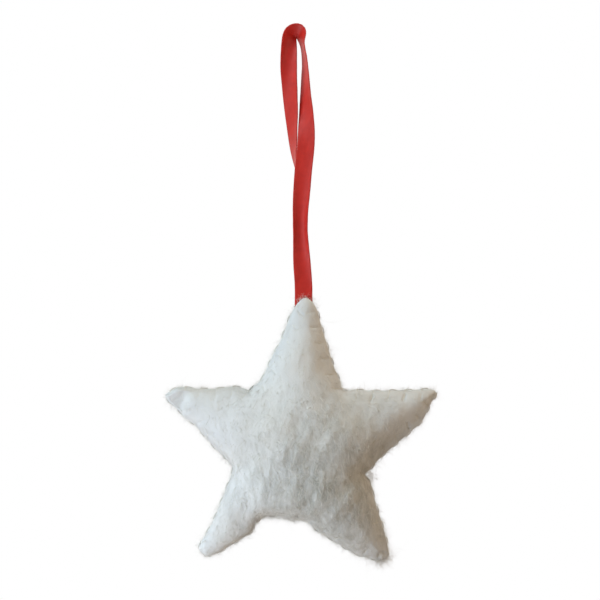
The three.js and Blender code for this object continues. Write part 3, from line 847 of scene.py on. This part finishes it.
def lying_hairs(name, face, faces, seed, made_of):
    """The felt's own nap: short fibres that lie nearly flat, mostly downwards."""
    place, normal, chance = scattered(face, faces, NAP_COUNT, seed, roughness_at)
    lie = along_face(chance.normal(0, NAP_SPREAD, place.shape) + (0, 0, -1), normal)
    rise = np.abs(chance.normal(*NAP_RISE, (NAP_COUNT, 1)))
    lengths = chance.uniform(*NAP_LENGTHS, NAP_COUNT)
    radii = NAP_RADIUS * (1 + 2 * chance.random(NAP_COUNT) ** 3)
    roots = place - normal * NAP_DEPTH + STAR_CENTRE
    ways = lie + normal * rise
    return hairs(name, roots, ways, lengths, radii, seed, made_of, droop=0.3, segments=3)


def edge_hairs(name, seed, made_of):
    """Fibres that stand out all round the cut edge."""
    chance = np.random.default_rng(seed)
    along = chance.uniform(0, EDGE_LENGTH, EDGE_HAIRS)
    inward = edge_inward(along)
    flat = edge_at(along) + inward * chance.uniform(0, EDGE_DEPTH, (EDGE_HAIRS, 1))
    y = chance.uniform(-EDGE_HALF, EDGE_HALF, EDGE_HAIRS)
    roots = at_depth(flat, y) + STAR_CENTRE
    ways = at_depth(-inward, y * EDGE_SPLAY) + chance.normal(0, EDGE_SPREAD, roots.shape)
    lengths = chance.gamma(*EDGE_LENGTHS, EDGE_HAIRS) + EDGE_LEAST
    return hairs(name, roots, ways, lengths, NAP_RADIUS, seed, made_of, droop=0.6)


def wear_at(flat):
    """Weighs the worn felt, to gather the curls there."""
    return (roughness_at(flat) - SMOOTH_SHARE) ** 2


def loose_curls(name, face, faces, seed, made_of):
    """Thicker fibres that have worked loose and lie curled on the worn part."""
    place, normal, chance = scattered(face, faces, CURLS, seed, wear_at)
    lie = along_face(chance.normal(size=place.shape), normal)
    lengths = chance.uniform(*CURL_LENGTHS, CURLS)
    radii = CURL_RADIUS * chance.uniform(*CURL_RADII, CURLS)
    roots = place + normal * CURL_LIFT + STAR_CENTRE
    ways = lie + normal * CURL_LIFT
    return hairs(name, roots, ways, lengths, radii, seed, made_of, droop=1.1, segments=8, normals=normal)


def tufts(name, seed, made_of):
    """Fine fibre that hangs out of the seam in places."""
    chance = np.random.default_rng(seed)
    fibres = []
    for middle, spread, way, length, count in TUFTS:
        flat = chance.normal(0, 1, (count, 2)) * spread + middle
        roots = at_depth(flat, chance.uniform(-1, 1, count)) + STAR_CENTRE
        ways = chance.normal(0, TUFT_SPREAD, (count, 3)) + way
        fibres.append((roots, ways, length * chance.uniform(*TUFT_LENGTHS, count)))
    roots, ways, lengths = (np.concatenate(x) for x in zip(*fibres))
    return hairs(name, roots, ways, lengths, NAP_RADIUS, seed, made_of, droop=0.7, segments=5)


# Thread.
def surface_height(face):
    """A function that gives a felt face's height at flat points, from the nearest of its own."""
    flat, height = face[:, [0, 2]], face[:, 1]

    def at(places):
        distance = np.linalg.norm(flat[:, None] - places, axis=2)
        near = np.argsort(distance, axis=0)[:NEAREST]
        share = 1 / (np.take_along_axis(distance, near, 0) + NEAREST_SOFT)
        return (height[near] * share).sum(axis=0) / share.sum(axis=0)

    return at


def thread_route(front, back):
    """The whole thread: through each hole from the back, over the edge and on to the next."""
    holes, front_ends, leave = stitch_lines(-1)
    _, back_ends, enter = stitch_lines(1)
    heights = {-1: surface_height(front), 1: surface_height(back)}
    route = []

    def through(place, y):
        route.append((place[0], y, place[1]))

    def on_back(place):
        through(place, heights[1](place[None])[0] + THREAD_RADIUS)

    def over(start, end, side, shares):
        for share in shares:
            place = start + (end - start) * share
            sunk = THREAD_SUNK + HIDDEN_SUNK * covered_at(place)
            through(place, heights[side](place[None])[0] - side * sunk)

    on_back(holes[0])
    for i in range(STITCH_COUNT):
        through(holes[i], HOLE_Y)
        through(holes[i], -HOLE_Y)
        over(holes[i], front_ends[i], -1, FRONT_SHARES)
        through(leave[i], -CROSSING_Y)
        if i + 1 < STITCH_COUNT:
            through(enter[i + 1], CROSSING_Y)
            over(back_ends[i + 1], holes[i + 1], 1, BACK_SHARES)
    last = STITCHES[-1:] + END_LEG
    crossing, end = edge_at(last)[0], (edge_at(last) + BITE * edge_inward(last))[0]
    through(crossing, CROSSING_Y)
    over(crossing, end, 1, END_SHARES)
    on_back(end)
    return np.array(route) + STAR_CENTRE


def swept(line, radius, sides, offset=0.0, pitch=1.0, phase=0.0):
    """Points and faces of a tube along a line, or of a ply that winds round it at an offset."""
    tangent = unit(np.gradient(line, axis=0))
    side = np.zeros_like(line)
    side[0] = unit(np.cross(tangent[0], OBLIQUE))
    for i in range(1, len(line)):
        side[i] = unit(side[i - 1] - tangent[i] * side[i - 1].dot(tangent[i]))
    other = np.cross(tangent, side)
    turn = (2 * math.pi * lengths_along(line) / pitch + phase)[:, None]
    middle = line + offset * (side * np.cos(turn) + other * np.sin(turn))
    angles = [2 * math.pi * j / sides for j in range(sides)]
    rings = [middle + radius * (side * math.cos(a) + other * math.sin(a)) for a in angles]
    last = (len(line) - 1) * sides
    caps = [tuple(reversed(range(sides))), tuple(range(last, last + sides))]
    return np.stack(rings, axis=1).reshape(-1, 3), tube_faces(len(line), sides) + caps


def joined(parts):
    """Several pieces' points and faces as one piece's."""
    points, faces, start = [], [], 0
    for p, f in parts:
        points.append(p)
        faces += [tuple(i + start for i in face) for face in f]
        start += len(p)
    return np.vstack(points), faces


def knot(place):
    """An overhand knot on the back of the felt."""
    t = np.linspace(0, 2 * math.pi, KNOT_STEPS)
    x = np.sin(t) + 2 * np.sin(2 * t)
    z = np.cos(t) - 2 * np.cos(2 * t)
    curve = np.stack([x, np.sin(3 * t) + KNOT_LIFT, z], axis=1)
    return swept(place + KNOT_SIZE * curve, THREAD_RADIUS, PLY_SIDES)


def thread(front, back, made_of):
    """Two plies that wind round the whole route, with a knot at each end."""
    line = centripetal(thread_route(front, back), closed=False)
    line = at_length(line, np.arange(0, lengths_along(line)[-1], THREAD_STEP))
    ply = (THREAD_RADIUS * PLY_RADIUS, PLY_SIDES, THREAD_RADIUS * PLY_OFFSET, PLY_PITCH)
    parts = [swept(line, *ply, phase) for phase in (0, math.pi)]
    points, faces = joined([*parts, knot(line[0]), knot(line[-1])])
    return new_object("edge_thread", points, faces, made_of)


# Ribbon.
def ribbon_frames(line, rolls):
    """Width and face directions along a ribbon's centre line."""
    tangent = unit(np.gradient(line, axis=0))
    outward = unit(np.cross(tangent, (0, 1, 0)))
    forward = np.cross(tangent, outward)
    turn = -np.radians(rolls)[:, None]
    width = forward * np.cos(turn) + np.cross(tangent, forward) * np.sin(turn)
    return width, np.cross(tangent, width)


def crumple_at(u, along):
    """How far the ribbon stands off its smooth form, at one place across it."""
    wide = [noise.noise(Vector((u * 0.9, d * 0.16, 3))) for d in along]
    fine = [noise.noise(Vector((u * 2, d * 0.5, 8))) for d in along]
    return CRUMPLE * (np.array(wide) + 0.4 * np.array(fine))[:, None]


def ribbon_rows():
    """The ribbon's centre line, its length, its rings of points, and each point's place across it."""
    weights = np.array([1, 1, 1, ANGLE_WEIGHT, ANGLE_WEIGHT])
    fine = centripetal(np.array(RIBBON_ROUTE) * weights, closed=False) / weights
    s = lengths_along(fine[:, :3])
    along = np.linspace(0, s[-1], round(s[-1] / RIBBON_STEP) + 1)
    values = np.stack([np.interp(along, s, column) for column in fine.T], axis=1)
    line, rolls, cups = values[:, :3], values[:, 3], np.radians(values[:, [4]])
    width, face = ribbon_frames(line, rolls)
    cups = np.where(np.abs(cups) < LEAST_CUP, LEAST_CUP, cups)
    radius = RIBBON_WIDTH / 2 / cups
    columns = np.linspace(-1, 1, RIBBON_COLUMNS)
    across = np.concatenate([columns[::-1], columns])
    rings = []
    for sign, u in zip(np.repeat([1, -1], RIBBON_COLUMNS), across):
        selvedge = SELVEDGE * ramp(abs(u), SELVEDGE_SPAN)
        out = sign * RIBBON_THICK / 2 * (1 + selvedge) + crumple_at(u, along)
        middle = line + width * radius * np.sin(cups * u) + face * radius * (1 - np.cos(cups * u))
        rings.append(middle + (face * np.cos(cups * u) - width * np.sin(cups * u)) * out)
    return line, along, np.stack(rings, axis=1), across * RIBBON_WIDTH / 2


def ribbon_piece(name, rows, first, last, made_of):
    """A stretch of the ribbon, between two of its rings."""
    _, along, rings, across = rows
    points = rings[first : last + 1]
    count, ring = points.shape[:2]
    faces = [(a, d, c, b) for a, b, c, d in tube_faces(count, ring)]
    whole = np.vstack([points.reshape(-1, 3), points[0], points[-1]])
    body = count * ring
    faces.append(tuple(range(body, body + ring)))
    faces.append(tuple(reversed(range(body + ring, body + 2 * ring))))
    made = new_object(name, whole, faces, made_of)
    layer = made.data.uv_layers.new(name="weave")
    for loop in made.data.loops:
        i, j = divmod(loop.vertex_index, ring)
        row = first + (i if i < count else 0 if i == count else count - 1)
        layer.data[loop.index].uv = (across[j], along[row])
    return made


def satin_material():
    """Red satin, whose warp runs along it and whose picks cross it."""
    made, add, join = material(
        "red_satin", Roughness=0.5, Specular_IOR_Level=0.46, Sheen_Weight=0.12, Sheen_Tint=(1, 0.6, 0.5, 1)
    )
    place = add("UVMap", uv_map="weave").outputs["UV"]
    ends = add("Mapping", {"Vector": place}, Scale=(9, 0.5, 1)).outputs["Vector"]
    warp = add("TexNoise", {"Vector": ends}, Scale=1, Detail=3, Roughness=0.6).outputs["Fac"]
    weft = add("TexWave", {"Vector": place}, Scale=1.3, Distortion=1.5, Detail=2, bands_direction="Y")
    tone = add("TexNoise", {"Vector": place}, Scale=0.35, Detail=3).outputs["Fac"]
    colour = colour_between(add, tone, (0.53, 0.011, 0.005), (0.62, 0.017, 0.009))
    threads = colour_between(add, warp, (0.8, 0.8, 0.8), (1, 1, 1), 0.3, 0.6)
    shade = add("MixRGB", {"Color1": colour, "Color2": threads}, blend_type="MULTIPLY", Fac=0.6)
    join(shade.outputs["Color"], "Base Color")
    heights = add("Math", {0: warp, 1: weft.outputs["Fac"]}, operation="ADD").outputs[0]
    join(add("Bump", {"Height": heights}, Strength=0.35, Distance=0.00004).outputs["Normal"], "Normal")
    return made


# Camera, lights and stage.
def camera():
    data = bpy.data.cameras.new("camera")
    data.sensor_width = SENSOR
    data.lens = SENSOR * CAMERA_DISTANCE / FRAME_WIDTH
    made = put_in_scene("camera", data)
    made.location = Vector((FRAME_CENTRE[0], -CAMERA_DISTANCE, FRAME_CENTRE[1])) * MM
    made.rotation_euler = (math.pi / 2, 0, 0)
    bpy.context.scene.camera = made


def lamp(name, place, size, power, colour):
    """A square lamp that faces the star."""
    data = bpy.data.lights.new(name, "AREA")
    data.size = size * MM
    data.energy = power
    data.color = colour
    made = put_in_scene(name, data)
    made.location = Vector(place) * MM
    made.rotation_euler = (Vector(LIT) - Vector(place)).to_track_quat("-Z", "Y").to_euler()
    made.visible_camera = False


def show_or_light(tree, seen, lit, output):
    """Gives the output what the camera, gloss and glass see, mixed with what lights the object."""
    rays = add_node(tree, "LightPath").outputs
    most = rays["Is Camera Ray"]
    for ray in ("Is Glossy Ray", "Is Transmission Ray"):
        most = add_node(tree, "Math", {0: most, 1: rays[ray]}, operation="MAXIMUM").outputs[0]
    mix = add_node(tree, "MixShader", {0: most, 1: lit, 2: seen})
    tree.links.new(mix.outputs[0], tree.nodes[output].inputs["Surface"])


def surroundings():
    world = bpy.data.worlds.new("studio")
    bpy.context.scene.world = world
    world.use_nodes = True
    tree = world.node_tree
    lit = tree.nodes["Background"]
    lit.inputs["Color"].default_value = WORLD_COLOUR
    lit.inputs["Strength"].default_value = WORLD_LIGHT
    seen = add_node(tree, "Background", Color=(1, 1, 1, 1))
    show_or_light(tree, seen.outputs[0], lit.outputs[0], "World Output")


def floor():
    """A pale disc that keeps the star's shadow and fades into the background."""
    made, add, _ = material("floor", Base_Color=FLOOR_COLOUR, Roughness=0.9)
    place = add("TexCoord").outputs["Object"]
    away = add("VectorMath", {0: place}, operation="LENGTH").outputs["Value"]
    start, end = FLOOR_FADE
    fade = add("MapRange", {"Value": away}, From_Min=start * MM, From_Max=end * MM, To_Min=FLOOR_GLOW)
    plain = made.node_tree.nodes["Principled BSDF"].outputs[0]
    glow = add("Emission").outputs[0]
    both = add("MixShader", {0: fade.outputs["Result"], 1: plain, 2: glow}).outputs[0]
    bounce = add("BsdfDiffuse", Color=FLOOR_BOUNCE).outputs[0]
    show_or_light(made.node_tree, both, bounce, "Material Output")
    turns = np.linspace(0, 2 * math.pi, FLOOR_SIDES, endpoint=False)
    ring = [(FLOOR_RADIUS * math.cos(a), FLOOR_RADIUS * math.sin(a), FLOOR_Z) for a in turns]
    new_object("floor", ring, [range(FLOOR_SIDES)], made)


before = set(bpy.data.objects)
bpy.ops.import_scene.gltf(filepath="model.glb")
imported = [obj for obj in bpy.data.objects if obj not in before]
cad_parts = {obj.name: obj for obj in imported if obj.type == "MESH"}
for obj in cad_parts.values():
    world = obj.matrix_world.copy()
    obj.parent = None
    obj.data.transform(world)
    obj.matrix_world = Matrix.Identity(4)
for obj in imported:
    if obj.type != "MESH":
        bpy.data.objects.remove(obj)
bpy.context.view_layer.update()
bpy.context.scene.view_settings.view_transform = "Standard"
camera()
surroundings()
floor()
for values in LAMPS:
    lamp(*values)

satin = satin_material()
rows = ribbon_rows()
ribbon_line = rows[0]
cuts = np.flatnonzero(ribbon_line[:, 2] > NECK_CUT)
ends = [
    ribbon_piece("ribbon_end_back", rows, 0, cuts[0], satin),
    ribbon_piece("ribbon_end_front", rows, cuts[-1], len(ribbon_line) - 1, satin),
]
for end, word in zip(ends, ("back", "front")):
    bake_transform(end)
    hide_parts("ribbon_neck_" + word, "ribbon_tail_" + word)
loop = ribbon_piece("ribbon_strip", rows, cuts[0], cuts[-1], satin)
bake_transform(loop)
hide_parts("ribbon_loop")

front_skin, back_skin, triangles = star_skins()
wool = felt_material()
fibre = fibre_material("felt_fibre")
layers = []
for name, skin, side in (("front_felt", front_skin, -1), ("back_felt", back_skin, 1)):
    face, faces = felt_face(skin, triangles, side)
    inner = inner_face(face, faces, side)
    layer = closed_between(name + "_cloth", face, inner, faces, wool)
    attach(layer, "star")
    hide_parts(name)
    layers.append((face, inner, faces))
    nap = lying_hairs(name + "_nap", face, faces, SEEDS["nap"] + side, fibre)
    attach(nap, "star")
(front, front_inner, front_faces), (back, back_inner, _) = layers
curls = loose_curls("loose_curls", front, front_faces, SEEDS["curls"], fibre)
edge_fibres = edge_hairs("edge_fibres", SEEDS["edge"], fibre)
edge_tufts = tufts("edge_tufts", SEEDS["tufts"], fibre)
for hair in (edge_fibres, edge_tufts, curls):
    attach(hair, "star")
stitching = thread(front, back, fibre_material("thread_cotton"))
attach(stitching, "star")
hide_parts("edge_stitching")

fill = stuffing(front_inner, back_inner, front_faces, fibre_material("stuffing_fibre"))
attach(fill, "star")
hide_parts("stuffing")
